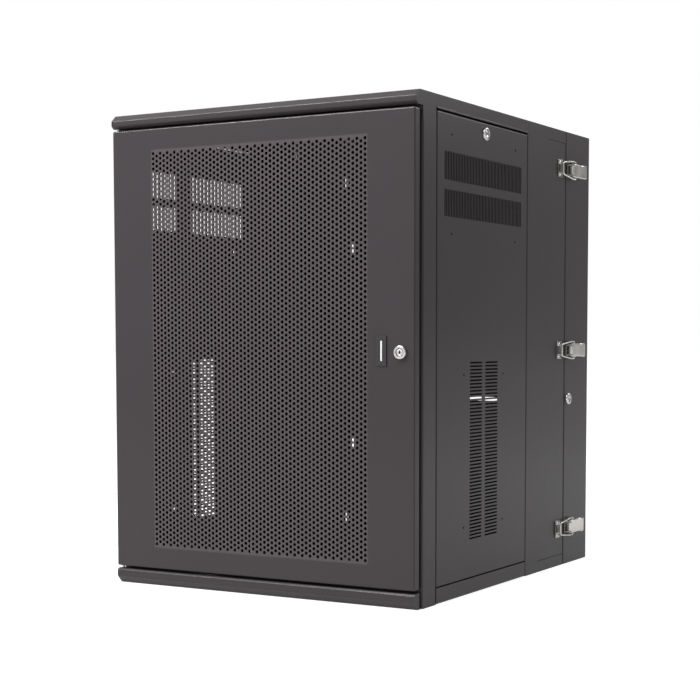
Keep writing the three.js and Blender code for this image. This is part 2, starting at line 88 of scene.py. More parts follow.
HALF = frame_high.x
HEIGHT = frame_high.z
WALL_Y = frame_high.y
DOOR_Y = door_low.y
FRAME_FRONT_Y = frame_low.y
CABINET_BACK_Y = top_high.y
SEAM_Y = (FRAME_FRONT_Y + CABINET_BACK_Y) / 2
POST_Y = DOOR_Y + 24.5
INNER = HALF - SHEET
FLANGE_X = HALF - 17.5
FLANGE_DEPTH = 20.0
CORNICE_Z = HEIGHT - 25.0
HEADER_Z = top_low.z
WINDOW_Y = (panel_low.y - 1.6, panel_high.y + 1.6)
WINDOW_TOP_Z = panel_high.z + 3.3
RETURN_X = panel_low.x
GAP = 0.3


# ---- outlines ----------------------------------------------------------------------------------
def fillet(points, radii, steps=5):
    """A closed outline with each corner rounded to its radius."""
    out = []
    for i, (p, radius) in enumerate(zip(points, radii)):
        p = Vector(p)
        if radius <= 0:
            out.append(tuple(p))
            continue
        a = (Vector(points[i - 1]) - p).normalized()
        b = (Vector(points[(i + 1) % len(points)]) - p).normalized()
        half = a.angle(b) / 2
        centre = p + (a + b).normalized() * radius / math.sin(half)
        start = p + a * radius / math.tan(half) - centre
        end = p + b * radius / math.tan(half) - centre
        angle = math.atan2(start.y, start.x)
        sweep = (math.atan2(end.y, end.x) - angle + math.pi) % (2 * math.pi) - math.pi
        for k in range(steps + 1):
            at = angle + sweep * k / steps
            out.append((centre.x + radius * math.cos(at), centre.y + radius * math.sin(at)))
    return out


def bent(path, thickness=SHEET, bend=BEND):
    """Outline of a folded sheet: path is its outer face, and the sheet lies on the path's left."""
    points = [Vector(p) for p in path]
    normals = []
    for p, q in zip(points, points[1:]):
        along = (q - p).normalized()
        normals.append(Vector((-along.y, along.x)))
    inner, outer_radii, inner_radii = [], [], []
    for i, p in enumerate(points):
        before = normals[max(i - 1, 0)]
        after = normals[min(i, len(normals) - 1)]
        bisector = before + after
        inner.append(p + bisector * 2 * thickness / bisector.length_squared)
        turn = before.x * after.y - before.y * after.x
        outer_radii.append(0 if abs(turn) < 1e-6 else bend + (thickness if turn > 0 else 0))
        inner_radii.append(0 if abs(turn) < 1e-6 else bend + (0 if turn > 0 else thickness))
    return fillet(points + inner[::-1], outer_radii + inner_radii[::-1])


def circle(u, v, radius, sides=24, phase=0.0):
    turns = [phase + 2 * math.pi * i / sides for i in range(sides)]
    return [(u + radius * math.cos(t), v + radius * math.sin(t)) for t in turns]


def rounded(u0, v0, u1, v1, radius, steps=4):
    return fillet([(u0, v0), (u1, v0), (u1, v1), (u0, v1)], [radius] * 4, steps)


# ---- solids ------------------------------------------------------------------------------------
# A solid is a closed bpy mesh in millimetres. Outlines are (y, z) along x, (z, x) along y and (x, y)
# along z.
AXES = {
    "x": Matrix(((0, 0, 1), (1, 0, 0), (0, 1, 0))),
    "y": Matrix(((0, 1, 0), (0, 0, 1), (1, 0, 0))),
    "z": Matrix.Identity(3),
}


def weld(mesh, distance=0.004):
    """Merges coincident vertices and turns the faces outwards."""
    bm = bmesh.new()
    bm.from_mesh(mesh)
    bmesh.ops.remove_doubles(bm, verts=bm.verts, dist=distance)
    bmesh.ops.recalc_face_normals(bm, faces=bm.faces)
    bm.to_mesh(mesh)
    bm.free()
    return mesh


def evaluated(holder):
    """The mesh of a scratch object with its modifiers applied. The object is removed."""
    bpy.context.scene.collection.objects.link(holder)
    depsgraph = bpy.context.evaluated_depsgraph_get()
    mesh = bpy.data.meshes.new_from_object(holder.evaluated_get(depsgraph), depsgraph=depsgraph)
    bpy.data.objects.remove(holder)
    return mesh


def prism(axis, loops, start, end):
    """Pushes an outline, with holes if there are more loops, along an axis."""
    curve = bpy.data.curves.new("outline", "CURVE")
    curve.dimensions = "2D"
    curve.fill_mode = "BOTH"
    curve.extrude = abs(end - start) / 2
    for loop in loops:
        spline = curve.splines.new("POLY")
        spline.points.add(len(loop) - 1)
        spline.use_cyclic_u = True
        spline.points.foreach_set("co", [c for u, v in loop for c in (u, v, 0, 1)])
    mesh = evaluated(bpy.data.objects.new("outline", curve))
    mesh.transform(Matrix.Translation((0, 0, (start + end) / 2)))
    mesh.transform(AXES[axis].to_4x4())
    return weld(mesh)


def block(a, b, radius=0.0):
    """A box between two opposite corners, with rounded edges along its longest side."""
    low = [min(p) for p in zip(a, b)]
    high = [max(p) for p in zip(a, b)]
    longest = max(range(3), key=lambda i: high[i] - low[i])
    u, v = ((1, 2), (2, 0), (0, 1))[longest]
    outline = rounded(low[u], low[v], high[u], high[v], radius)
    if radius <= 0:
        outline = [(low[u], low[v]), (high[u], low[v]), (high[u], high[v]), (low[u], high[v])]
    return prism("xyz"[longest], [outline], low[longest], high[longest])


def turned(profile, axis, at, sides=48):
    """Spins a closed profile of (radius, height) points about an axis through a point."""
    bm = bmesh.new()
    rings = []
    for i in range(sides):
        angle = 2 * math.pi * i / sides
        rings.append([bm.verts.new((r * math.cos(angle), r * math.sin(angle), h)) for r, h in profile])
    for i, ring in enumerate(rings):
        after = rings[(i + 1) % sides]
        for j in range(len(ring)):
            k = (j + 1) % len(ring)
            bm.faces.new((ring[j], after[j], after[k], ring[k]))
    mesh = bpy.data.meshes.new("turned")
    bm.to_mesh(mesh)
    bm.free()
    mesh.transform(AXES[axis].to_4x4())
    mesh.transform(Matrix.Translation(at))
    return weld_closed(mesh)


def weld_closed(mesh):
    """Welds a spun mesh and drops the faces that collapse on its axis."""
    bm = bmesh.new()
    bm.from_mesh(mesh)
    bmesh.ops.remove_doubles(bm, verts=bm.verts, dist=0.004)
    bmesh.ops.dissolve_degenerate(bm, edges=bm.edges, dist=0.004)
    bmesh.ops.recalc_face_normals(bm, faces=bm.faces)
    bm.to_mesh(mesh)
    bm.free()
    return mesh


def together(*meshes):
    """One mesh that holds several closed shells."""
    bm = bmesh.new()
    for mesh in meshes:
        bm.from_mesh(mesh)
    out = bpy.data.meshes.new("together")
    bm.to_mesh(out)
    bm.free()
    return out


def boolean(mesh, other, operation):
    holder = bpy.data.objects.new("shape", mesh)
    tool = bpy.data.objects.new("tool", other)
    bpy.context.scene.collection.objects.link(tool)
    modifier = holder.modifiers.new("boolean", "BOOLEAN")
    modifier.object = tool
    modifier.operation = operation
    modifier.solver = "EXACT"
    modifier.use_self = operation == "UNION"
    out = evaluated(holder)
    bpy.data.objects.remove(tool)
    return weld(out)


def union(*meshes):
    out = meshes[0]
    for mesh in meshes[1:]:
        out = boolean(out, mesh, "UNION")
    return out


def cut(mesh, *tools):
    return boolean(mesh, together(*tools), "DIFFERENCE")


def eased(mesh, width, segments=2, angle=50):
    """Rounds the sharp edges of a solid."""
    holder = bpy.data.objects.new("eased", mesh)
    modifier = holder.modifiers.new("edges", "BEVEL")
    modifier.width = width
    modifier.segments = segments
    modifier.limit_method = "ANGLE"
    modifier.angle_limit = math.radians(angle)
    return evaluated(holder)


def from_cad(node):
    """A node's own mesh in millimetres, with the triangles of each flat face joined."""
    mesh = frame["nodes"][node].data.copy()
    mesh.transform(Matrix.Scale(1 / MM, 4))
    bm = bmesh.new()
    bm.from_mesh(mesh)
    bmesh.ops.remove_doubles(bm, verts=bm.verts, dist=0.004)
    bmesh.ops.dissolve_limit(bm, angle_limit=math.radians(0.5), verts=bm.verts, edges=bm.edges)
    bm.to_mesh(mesh)
    bm.free()
    return mesh


stood_for = set()  # CAD nodes that a piece already replaces


def piece(name, mesh, look, body, slot, *nodes):
    """Makes a solid into a shown piece that rides on a body and stands for CAD nodes."""
    mesh.name = name
    mesh.transform(Matrix.Scale(MM, 4))
    mesh.materials.clear()
    mesh.materials.append(look)
    mesh.shade_smooth()
    mesh.set_sharp_from_angle(angle=math.radians(50))
    shown = bpy.data.objects.new(name, mesh)
    bpy.context.scene.collection.objects.link(shown)
    normals = shown.modifiers.new("flat faces stay flat", "WEIGHTED_NORMAL")
    normals.keep_sharp = True
    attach(shown, body)
    if nodes:
        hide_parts(*nodes)
        stood_for.update(nodes)
    return shown


# ---- materials ---------------------------------------------------------------------------------
class Look:
    """A Principled material with short helpers to add procedural detail."""

    def __init__(self, name, colour, roughness, metallic=0.0, specular=0.5):
        self.material = bpy.data.materials.new(name)
        self.material.use_nodes = True
        self.tree = self.material.node_tree
        self.shader = self.tree.nodes["Principled BSDF"]
        self.shader.inputs["Base Color"].default_value = (*colour, 1)
        self.shader.inputs["Roughness"].default_value = roughness
        self.shader.inputs["Metallic"].default_value = metallic
        self.shader.inputs["Specular IOR Level"].default_value = specular
        self.place = self.node("ShaderNodeTexCoord").outputs["Object"]
        self.bump = None

    def node(self, kind, **inputs):
        made = self.tree.nodes.new(kind)
        for key, value in inputs.items():
            made.inputs[key.replace("_", " ")].default_value = value
        return made

    def link(self, a, b):
        self.tree.links.new(a, b)

    def noise(self, scale, detail=2.0, stretch=(1, 1, 1), roughness=0.5):
        mapping = self.node("ShaderNodeMapping", Scale=stretch)
        self.link(self.place, mapping.inputs["Vector"])
        noise = self.node("ShaderNodeTexNoise", Scale=scale, Detail=detail, Roughness=roughness)
        self.link(mapping.outputs["Vector"], noise.inputs["Vector"])
        return noise.outputs["Fac"]

    def ranged(self, value, low, high, start=0.3, end=0.7):
        made = self.node("ShaderNodeMapRange", From_Min=start, From_Max=end, To_Min=low, To_Max=high)
        self.link(value, made.inputs["Value"])
        return made.outputs["Result"]

    def mottle(self, *layers):
        """Base colour multiplied by one factor for each (noise, low, high)."""
        colour = self.shader.inputs["Base Color"].default_value[:]
        source = None
        for value, low, high in layers:
            mix = self.node("ShaderNodeMix")
            mix.data_type = "RGBA"
            mix.blend_type = "MULTIPLY"
            mix.inputs["Factor"].default_value = 1
            if source is None:
                mix.inputs["A"].default_value = colour
            else:
                self.link(source, mix.inputs["A"])
            self.link(self.ranged(value, low, high), mix.inputs["B"])
            source = mix.outputs["Result"]
        self.link(source, self.shader.inputs["Base Color"])

    def within(self, low, high):
        """1 inside an upright rectangle between two (x, z) points in metres, and 0 outside it."""
        parts = self.node("ShaderNodeSeparateXYZ")
        self.link(self.place, parts.inputs["Vector"])
        both = self.math("MULTIPLY")
        for i, axis in enumerate("XZ"):
            offset = self.math("SUBTRACT", (low[i] + high[i]) / 2)
            self.link(parts.outputs[axis], offset.inputs[0])
            distance = self.math("ABSOLUTE")
            self.link(offset.outputs[0], distance.inputs[0])
            half = (high[i] - low[i]) / 2
            self.link(self.ranged(distance.outputs[0], 1, 0, half - MM, half + MM), both.inputs[i])
        return both.outputs[0]

    def math(self, operation, second=0.0):
        made = self.tree.nodes.new("ShaderNodeMath")
        made.operation = operation
        made.inputs[1].default_value = second
        return made

    def vary_roughness(self, value, low, high):
        self.link(self.ranged(value, low, high), self.shader.inputs["Roughness"])

    def raise_bump(self, value, distance, strength=1.0):
        made = self.node("ShaderNodeBump", Strength=strength, Distance=distance)
        self.link(value, made.inputs["Height"])
        if self.bump:
            self.link(self.bump, made.inputs["Normal"])
        self.bump = made.outputs["Normal"]
        self.link(self.bump, self.shader.inputs["Normal"])


# The clear layer on the paint, and how much paler the paint is made in the punched area: a painted
# highlight for light caught on the hole edges.
CLEAR = {"weight": 0.28, "roughness": 0.17}
PUNCHED_PAINTED_HIGHLIGHT = 1.75


def powder_coat(name, colour, roughness, spread=0.015, punched=None):
    """Satin textured powder coat: fine orange peel, speckle and broad, faint unevenness.

    Inside the punched rectangle the paint is made paler, to the brightness seen on the real door: a
    painted highlight that stands in for light caught on the hole edges.
    """
    look = Look(name, colour, roughness, specular=0.12)
    look.shader.inputs["Coat Weight"].default_value = CLEAR["weight"]
    look.shader.inputs["Coat Roughness"].default_value = CLEAR["roughness"]
    peel = look.noise(620, 3, roughness=0.6)
    speckle = look.noise(2600, 1)
    broad = look.noise(5, 3)
    layers = [(broad, 0.98, 1.03), (speckle, 0.93, 1.07)]
    # Painted highlight: paler paint over the punched area.
    if punched:
        layers.append((look.within(*punched), 1.0, PUNCHED_PAINTED_HIGHLIGHT))
    look.mottle(*layers)
    look.vary_roughness(look.noise(38, 4), roughness - spread, roughness + spread)
    look.raise_bump(peel, 0.00006, 0.5)
    look.raise_bump(speckle, 0.00001, 0.4)
    return look.material


def plated(name, colour, roughness, grain):
    """Plated steel: stretched drawing marks, faint stains and uneven gloss."""
    look = Look(name, colour, roughness, metallic=1.0)
    marks = look.noise(420, 4, stretch=grain, roughness=0.7)
    stains = look.noise(60, 5)
    look.mottle((stains, 0.88, 1.06), (marks, 0.95, 1.04))
    look.vary_roughness(stains, roughness * 0.75, roughness * 1.35)
    look.raise_bump(marks, 0.00002, 0.35)
    return look.material


def moulded(name, colour, roughness):
    look = Look(name, colour, roughness)
    grain = look.noise(1800, 2)
    look.mottle((look.noise(24, 2), 0.94, 1.06))
    look.vary_roughness(grain, roughness - 0.05, roughness + 0.08)
    look.raise_bump(grain, 0.00002, 0.4)
    return look.material


CHARCOAL = (0.0343, 0.0291, 0.0318)
COAT = powder_coat("charcoal_powder_coat", CHARCOAL, 0.34)
# (x, z) corners of the punched area, in metres, where the paint is made paler as a painted highlight.
PUNCHED = ((-0.227, 0.072), (0.225, 0.798))
DOOR_COAT_PAINTED_HIGHLIGHT = powder_coat("charcoal_coat_punched_painted_highlight", CHARCOAL, 0.34, punched=PUNCHED)
RAIL_COAT = powder_coat("black_rail_coat", (0.020, 0.0195, 0.0205), 0.5)
# The same plated steel in two shades: the darker copy is darkened as painted shade, for the dark
# reflections of the black cabinet around it; the lighter copy is a painted highlight.
ZINC_SHADED_COPY = plated("zinc_plate_shaded_copy", (0.40, 0.39, 0.37), 0.22, (1, 0.12, 1))
ZINC_LIT_COPY = plated("zinc_plate_lit_copy", (0.70, 0.68, 0.65), 0.20, (1, 0.12, 1))
CHROME = plated("bright_chrome", (0.74, 0.73, 0.72), 0.15, (1, 1, 1))
# Wafers inside the keyway: real parts, but coloured near black as painted shade for the deep keyway.
WAFER_DARKENED_AS_SHADE = plated("wafer_brass_painted_shade", (0.035, 0.03, 0.022), 0.55, (1, 1, 1))
BADGE = moulded("badge_black", (0.017, 0.017, 0.019), 0.32)
BAR = moulded("badge_light_bar", (0.62, 0.62, 0.60), 0.35)


# ---- folded pans: the door and the side panels ---------------------------------------------------
def pan(low, high, depth, hem, corner, holes, thickness=SHEET, steps=5):
    """A sheet in (u, v, w) that faces +w from w = 0. Its four edges fold back and then in."""
    bend = thickness + 0.6
    thin = bend - thickness

    def arc(centre_d, centre_h, radius, start, end):
        turns = [math.radians(start + (end - start) * k / steps) for k in range(steps + 1)]
        return [(centre_d + radius * math.cos(t), centre_h + radius * math.sin(t)) for t in turns]

    profile = arc(bend, bend, bend, 270, 180) + arc(bend, depth - bend, bend, 180, 90)
    profile += [(hem, depth), (hem, depth - thickness)]
    profile += arc(bend, depth - bend, thin, 90, 180) + arc(bend, bend, thin, 180, 270)

    def ring(inset):
        radius = max(corner - inset, 0.05)
        return rounded(low[0] + inset, low[1] + inset, high[0] - inset, high[1] - inset, radius, 3)

    face = prism("z", [ring(bend), *holes], -thickness, 0)
    bm = bmesh.new()
    bm.from_mesh(face)
    edge = {(round(u, 2), round(v, 2)) for u, v in ring(bend)}
    rim = [f for f in bm.faces
           if abs(f.normal.z) < 0.5
           and all((round(v.co.x, 2), round(v.co.y, 2)) in edge for v in f.verts)]
    bmesh.ops.delete(bm, geom=rim, context="FACES")
    loops = [[bm.verts.new((u, v, -h)) for u, v in ring(d)] for d, h in profile]
    for one, two in zip(loops, loops[1:]):
        for i in range(len(one)):
            k = (i + 1) % len(one)
            bm.faces.new((one[i], one[k], two[k], two[i]))
    bm.to_mesh(face)
    bm.free()
    return weld(face, 0.02)


PERFORATION = {"pitch": 9.13, "radius": 3.15, "columns": 57, "rows": 79, "centre": (-1.0, 435.0)}


def perforations():
    """Staggered round holes: every second column is half a pitch up and one hole shorter."""
    pitch = PERFORATION["pitch"]
    across = pitch * math.cos(math.radians(30))
    centre_x, centre_z = PERFORATION["centre"]
    out = []
    for column in range(PERFORATION["columns"]):
        x = centre_x + (column - (PERFORATION["columns"] - 1) / 2) * across
        count = PERFORATION["rows"] - column % 2
        for row in range(count):
            z = centre_z + (row - (count - 1) / 2) * pitch
            out.append(circle(x, z, PERFORATION["radius"], 8, math.pi / 8))
    return out


def front_door():
    lock_low, lock_high = corners("door_lock_housing")
    lock = (lock_low + lock_high) / 2
    holes = perforations() + [circle(lock.x, lock.z, 9.3, 32)]
    mesh = pan((door_low.x, door_low.z), (door_high.x, door_high.z),
               door_high.y - door_low.y, 14.0, 3.0, holes)
    mesh.transform(Matrix(((1, 0, 0, 0), (0, 0, -1, door_low.y), (0, 1, 0, 0), (0, 0, 0, 1))))
    return piece("door_shell", mesh, DOOR_COAT_PAINTED_HIGHLIGHT, "front_door", "coat", "front_door")


PANEL_SHEET = 1.0
TALL_VENTS = {"count": 52, "pitch": 6.13, "width": 4.0, "rows": ((726.0, 775.5), (664.0, 711.0))}
FLAT_VENTS = {"count": 51, "pitch": 6.27, "width": 3.0, "middle": 256.5,
              "columns": ((-57.0, -7.0), (6.0, 59.0))}
PANEL_HEM = 2.0
PANEL_HOLES = ((131.0, 635.0), (131.0, 804.0), (81.0, 122.0), (81.0, 392.0))


def panel_openings(middle):
    """Vent slots and small holes of a side panel, around the panel's middle line."""
    out = []
    for z0, z1 in TALL_VENTS["rows"]:
        for i in range(TALL_VENTS["count"]):
            y = middle + (i - (TALL_VENTS["count"] - 1) / 2) * TALL_VENTS["pitch"]
            half = TALL_VENTS["width"] / 2
            out.append(rounded(y - half, z0, y + half, z1, half * 0.98, 4))
    for y0, y1 in FLAT_VENTS["columns"]:
        for i in range(FLAT_VENTS["count"]):
            z = FLAT_VENTS["middle"] + (i - (FLAT_VENTS["count"] - 1) / 2) * FLAT_VENTS["pitch"]
            half = FLAT_VENTS["width"] / 2
            out.append(rounded(middle + y0, z - half, middle + y1, z + half, half * 0.98, 4))
    for away, z in PANEL_HOLES:
        out.append(circle(middle - away, z, 2.2, 16))
        out.append(circle(middle + away, z, 2.2, 16))
    return out


def side_panel(name, side):
    lock_low, lock_high = corners(f"side_panel_{name}_lock_housing")
    lock = (lock_low + lock_high) / 2
    middle = (panel_low.y + panel_high.y) / 2
    holes = panel_openings(middle) + [circle(lock.y, lock.z, 9.3, 32)]
    depth = panel_high.x - panel_low.x
    mesh = pan((panel_low.y, panel_low.z), (panel_high.y, panel_high.z), depth, PANEL_HEM, 2.0, holes,
               PANEL_SHEET)
    mesh.transform(Matrix(((0, 0, side, side * HALF), (1, 0, 0, 0), (0, 1, 0, 0), (0, 0, 0, 1))))
    weld(mesh)
    return piece(f"side_cover_{name}", mesh, COAT, f"side_panel_{name}", "coat", f"side_panel_{name}")


# ---- cabinet shell -------------------------------------------------------------------------------
def cam_notch():
    """Notch through both flanges at the seam, for the rear lock's cam."""
    lock_low, lock_high = corners("rear_lock_housing")
    z = (lock_low.z + lock_high.z) / 2
    return block((FLANGE_X - 1, CABINET_BACK_Y - 5, z - 27), (HALF - 9, FRAME_FRONT_Y + 5, z + 9))


# Seams on the rear strip: each runs back from its (y, z).
SEAM = {"starts": ((171.0, 842.0), (130.0, 22.0)), "depth": 1.2, "width": 1.6, "margin": 7.0}


def cabinet_side(name, side):
    """Front post, rear strip and lintel around the panel's window, and the cornice's end plate."""
    def plan(points, z0, z1):
        path = [(side * x, y) for x, y in points]
        if side < 0:
            path.reverse()
        return prism("z", [bent(path)], z0, z1)

    front, rear = WINDOW_Y
    post = plan([(FLANGE_X, POST_Y), (HALF, POST_Y), (HALF, front), (RETURN_X, front)],
                SHEET + GAP, HEADER_Z)
    back = plan([(RETURN_X, rear), (HALF, rear), (HALF, CABINET_BACK_Y), (FLANGE_X, CABINET_BACK_Y)],
                SHEET + GAP, WINDOW_TOP_Z)
    outline = [(POST_Y, CORNICE_Z), (DOOR_Y + 6, CORNICE_Z), (DOOR_Y, CORNICE_Z + 5.5),
               (DOOR_Y, HEIGHT - 11),
               (DOOR_Y + 12.5, HEIGHT), (CABINET_BACK_Y, HEIGHT), (CABINET_BACK_Y, WINDOW_TOP_Z),
               (POST_Y, WINDOW_TOP_Z)]
    end_plate = fillet(outline, [0, 1.5, 2.5, 2.5, 3.0, 0, 0, 0])
    lintel = eased(prism("x", [end_plate], side * INNER, side * HALF), 0.6)
    shelf = block((side * RETURN_X, front, WINDOW_TOP_Z),
                  (side * (HALF - 0.1), rear + 1.5, WINDOW_TOP_Z + SHEET))
    hem = prism("y", [fillet([(z, side * (HALF + out)) for z, out in
                              ((WINDOW_TOP_Z, -1.0), (WINDOW_TOP_Z, 1.2), (WINDOW_TOP_Z + 2.4, 1.2),
                               (WINDOW_TOP_Z + 3.4, -1.0))], [0, 0.5, 1.0, 0])], front, rear)
    band = block((side * INNER, POST_Y, HEADER_Z - 1), (side * HALF, front - 2.5, WINDOW_TOP_Z + 1))
    feet = [block((side * INNER, y0, 0), (side * HALF, y1, SHEET + GAP + 1))
            for y0, y1 in ((POST_Y + 1.5, front), (rear, CABINET_BACK_Y - 1.5))]
    seams = [block((side * (HALF - SEAM["depth"]), y0, z - SEAM["width"] / 2),
                   (side * (HALF + 1), CABINET_BACK_Y - SEAM["margin"], z + SEAM["width"] / 2))
             for y0, z in SEAM["starts"]]
    mesh = cut(union(lintel, post, back, shelf, hem, band, *feet), *seams)
    if side > 0:
        mesh = cut(mesh, cam_notch())
    return piece(f"side_shell_{name}", mesh, COAT, "cabinet", "coat", f"cabinet_side_{name}")


TOP_VENTS = {"banks": (-110.0, 110.0), "count": 8, "pitch": 14.0, "width": 5.0, "length": 110.0,
             "y": -147.5}


def cabinet_top():
    """Top sheet, cornice and header, folded from one sheet, with two banks of slots."""
    path = [(CABINET_BACK_Y, HEIGHT - FLANGE_DEPTH), (CABINET_BACK_Y, HEIGHT), (DOOR_Y + 12.5, HEIGHT),
            (DOOR_Y, HEIGHT - 11), (DOOR_Y, CORNICE_Z + 5.5), (DOOR_Y + 6, CORNICE_Z),
            (POST_Y, CORNICE_Z),
            (POST_Y, HEADER_Z)]
    sheet = prism("x", [bent(path)], -INNER + GAP, INNER - GAP)
    slots = []
    for bank in TOP_VENTS["banks"]:
        for row in range(TOP_VENTS["count"]):
            y = TOP_VENTS["y"] + row * TOP_VENTS["pitch"]
            half = TOP_VENTS["width"] / 2
            end = TOP_VENTS["length"] / 2
            outline = rounded(bank - end, y - half, bank + end, y + half, half * 0.98, 5)
            slots.append(prism("z", [outline], HEIGHT - SHEET - 1, HEIGHT + 1))
    ends = [block((side * (FLANGE_X - GAP), CABINET_BACK_Y - SHEET - 1, HEIGHT - SHEET - GAP - 1),
                  (side * HALF, CABINET_BACK_Y + 1, HEIGHT - FLANGE_DEPTH - 1)) for side in (-1, 1)]
    return piece("top_and_cornice", cut(sheet, *slots, *ends), COAT, "cabinet", "coat", "cabinet_top")


def cabinet_base():
    tray = prism("y", [bent([(sill_high.z, HALF), (0, HALF), (0, -HALF), (sill_high.z, -HALF)])],
                 panel_low.y, panel_high.y)
    inside = FLANGE_X - GAP
    floor = prism("x", [bent([(CABINET_BACK_Y, FLANGE_DEPTH), (CABINET_BACK_Y, 0.05), (POST_Y, 0.05),
                              (POST_Y, base_high.z)][::-1])], -inside, inside)
    wings = [block((side * (inside - 1), POST_Y + 3, 0.05),
                   (side * (INNER - GAP), CABINET_BACK_Y - 3, SHEET)) for side in (-1, 1)]
    return piece("base_tray", union(tray, floor, *wings), COAT, "cabinet", "coat", "cabinet_base")


def front_sill():
    """Folded channel below the door, with end plates set into it."""
    rear = sill_high.y
    back = door_high.y
    path = [(back, sill_high.z), (DOOR_Y + 3, sill_high.z), (DOOR_Y, sill_high.z - 3.5), (DOOR_Y, 13),
            (DOOR_Y + 11.5, 0), (rear, 0)]
    channel = prism("x", [bent(path)], sill_low.x, sill_high.x)
    outline = fillet([*path[:-1], (back, 0)], [0, 1.6, 1.6, 2.9, 2.9, 0])
    ends = [eased(prism("x", [outline], x, x + side * 2.2), 0.5)
            for x, side in ((sill_low.x, 1), (sill_high.x, -1))]
    return piece("sill_channel", union(channel, *ends), COAT, "cabinet", "coat", "front_sill")


# ---- wall frame ----------------------------------------------------------------------------------
def wall_side(name, side):
    path = [(side * HALF, WALL_Y), (side * HALF, FRAME_FRONT_Y), (side * FLANGE_X, FRAME_FRONT_Y)]
    if side > 0:
        path.reverse()
    flange_z = SHEET + GAP + FLANGE_DEPTH
    mesh = prism("z", [bent(path)], 0, HEIGHT)
    clear = [block((side * (INNER - 0.3), FRAME_FRONT_Y - 1, z0),
                   (side * (FLANGE_X - 1), FRAME_FRONT_Y + 4, z1))
             for z0, z1 in ((-1, flange_z), (HEIGHT - flange_z, HEIGHT + 1))]
    if side > 0:
        lock_low, lock_high = corners("rear_lock_housing")
        lock = (lock_low + lock_high) / 2
        hole = prism("x", [circle(lock.y, lock.z, 9.3, 32)], HALF - 5, HALF + 5)
        clear += [hole, cam_notch()]
    return piece(f"wall_side_{name}", cut(mesh, *clear), COAT, "wall_frame", "coat",
                 f"wall_frame_{name}")


def wall_end(name, up):
    def z(depth):
        return HEIGHT - depth if up > 0 else depth

    cover_low, cover_high = corners(f"cable_cover_{name}")
    lap = 8.0
    path = [(WALL_Y, z(0)), (FRAME_FRONT_Y, z(0)), (FRAME_FRONT_Y, z(FLANGE_DEPTH))]
    if up < 0:
        path.reverse()
    mesh = prism("x", [bent(path)], -INNER + GAP, INNER - GAP)
    opening = prism("z", [rounded(cover_low.x + lap, cover_low.y + lap, cover_high.x - lap,
                                  cover_high.y - lap, 2)], *sorted((z(-1), z(3))))
    return piece(f"wall_end_{name}", cut(mesh, opening), COAT, "wall_frame", "coat",
                 f"wall_frame_{name}")


front_door()
for name, side in (("left", -1), ("right", 1)):
    side_panel(name, side)
    cabinet_side(name, side)
    wall_side(name, side)
cabinet_top()
cabinet_base()
front_sill()
wall_end("top", 1)
wall_end("bottom", -1)


# ---- cam locks -----------------------------------------------------------------------------------
LOCK = {"bore": 7.0, "face": 9.6, "collar": 11.75, "barrel": 9.0, "root": 8.5, "thread": 1.5}
LOCK_PROUD = {"x": 5.5, "y": 6.0}
LOCK_PLUG = {"radius": 6.3, "rim": 5.0, "dish": 4.2, "dish_depth": 0.7}
LOCK_TAIL = {"half": 3.7, "length": 4.1}
KEYWAY = [(-1.7, -0.4), (-0.5, -3.6), (0.5, -3.6), (1.7, -0.4), (1.1, 3.2), (-1.1, 3.2)]
KEYWAY_DEPTH = 9.0
WAFER_DEPTHS = (-8.2, -6.8, -5.4, -4.0, -2.6)


def lock_frame(node, axis, side):
    """The centre of a lock's outer face, and its length."""
    low, high = corners(node)
    centre = (low + high) / 2
    index = "xy".index(axis)
    centre[index] = high[index] if side > 0 else low[index]
    return centre, (high - low)[index]


def place_lock(mesh, axis, side, centre):
    """Turns a shape drawn with its face at z = 0, facing +z, to face out of its sheet."""
    if side < 0:
        mesh.transform(Matrix.Rotation(math.pi, 4, "X" if axis == "y" else "Y"))
    mesh.transform(AXES[axis].to_4x4())
    mesh.transform(Matrix.Translation(centre))
    return mesh


def lock_face(node, axis, side, body):
    """Domed collar and threaded barrel of a cam lock, in place of its housing."""
    centre, length = lock_frame(node, axis, side)
    proud = LOCK_PROUD[axis]
    threads = []
    for i in range(int((length - proud - 1) / LOCK["thread"])):
        h = -(proud + 0.6) - i * LOCK["thread"]
        threads += [(LOCK["barrel"], h), (LOCK["root"], h - LOCK["thread"] / 2)]
    dome = [(LOCK["face"] + 2.0 * math.sin(t), -2.6 + 2.6 * math.cos(t))
            for t in (0.35, 0.7, 1.05, 1.4)]
    seat = -(proud - 0.3)
    profile = [(LOCK["bore"], 0), (LOCK["face"], 0), *dome,
               (LOCK["collar"], -3.4), (LOCK["collar"], seat), (LOCK["barrel"], seat),
               *threads, (LOCK["root"], -length), (LOCK["bore"], -length)]
    mesh = place_lock(turned(profile, "z", (0, 0, 0)), axis, side, centre)
    return piece(node.replace("housing", "collar"), mesh, CHROME, body, "lock_chrome", node)


def lock_plug(node, axis, side, body):
    """Dished plug with an upright keyway, its wafers (coloured near black as painted shade of the deep
    keyway), and a square tail that carries the cam.
    """
    centre, length = lock_frame(node, axis, side)
    back = LOCK_TAIL["length"] - length
    half = LOCK_TAIL["half"]
    radius = LOCK_PLUG["radius"]
    dish = -LOCK_PLUG["dish_depth"]
    profile = [(0.01, back), (radius, back), (radius, -0.5), (radius - 0.4, -0.1),
               (LOCK_PLUG["rim"], -0.1), (LOCK_PLUG["dish"], dish), (0.01, dish)]
    tail = block((-half, -half, -length), (half, half, back + 1))
    plug = union(turned(profile, "z", (0, 0, 0), 40), tail)
    wafers = together(*[prism("z", [[(0.94 * x, 0.97 * y) for x, y in KEYWAY]], z, z + 0.9)
                        for z in WAFER_DEPTHS])
    mesh = cut(plug, prism("z", [KEYWAY], -KEYWAY_DEPTH, 1))
    if axis == "y":
        for shape in (mesh, wafers):
            shape.transform(Matrix.Rotation(math.pi / 2, 4, "Z"))
    for shape in (mesh, wafers):
        place_lock(shape, axis, side, centre)
    # The wafers are coloured near black: painted shade in the deep keyway.
    piece(node.replace("plug", "wafers"), wafers, WAFER_DARKENED_AS_SHADE, body, "lock_chrome")
    return piece(node.replace("plug", "cylinder"), mesh, CHROME, body, "lock_chrome", node)


